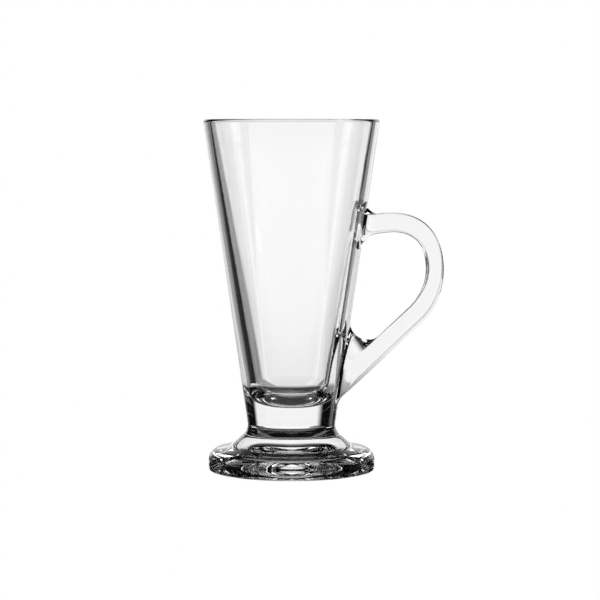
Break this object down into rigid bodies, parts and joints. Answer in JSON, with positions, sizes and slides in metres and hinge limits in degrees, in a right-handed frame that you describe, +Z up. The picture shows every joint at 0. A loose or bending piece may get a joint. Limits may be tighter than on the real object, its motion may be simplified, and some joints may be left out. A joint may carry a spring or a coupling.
{
  "type": "irish coffee mug",
  "caption": "Footed clear glass mug for hot drinks: tapered bowl with a thick base, short waisted stem, flared disc foot and looped side handle.",
  "frame": {"origin": "centre of the ring that the foot stands on, on the bowl's axis", "axes": "+Z up along the bowl's axis, +X towards the handle, +Y to the far side"},
  "size_m": [0.1017, 0.0746, 0.149],
  "materials": {
    "glass": "clear fire-polished soda-lime glass"
  },
  "bodies": {
    "root": {"bowl": "glass", "stem": "glass", "foot": "glass", "handle": "glass"}
  },
  "joints": []
}
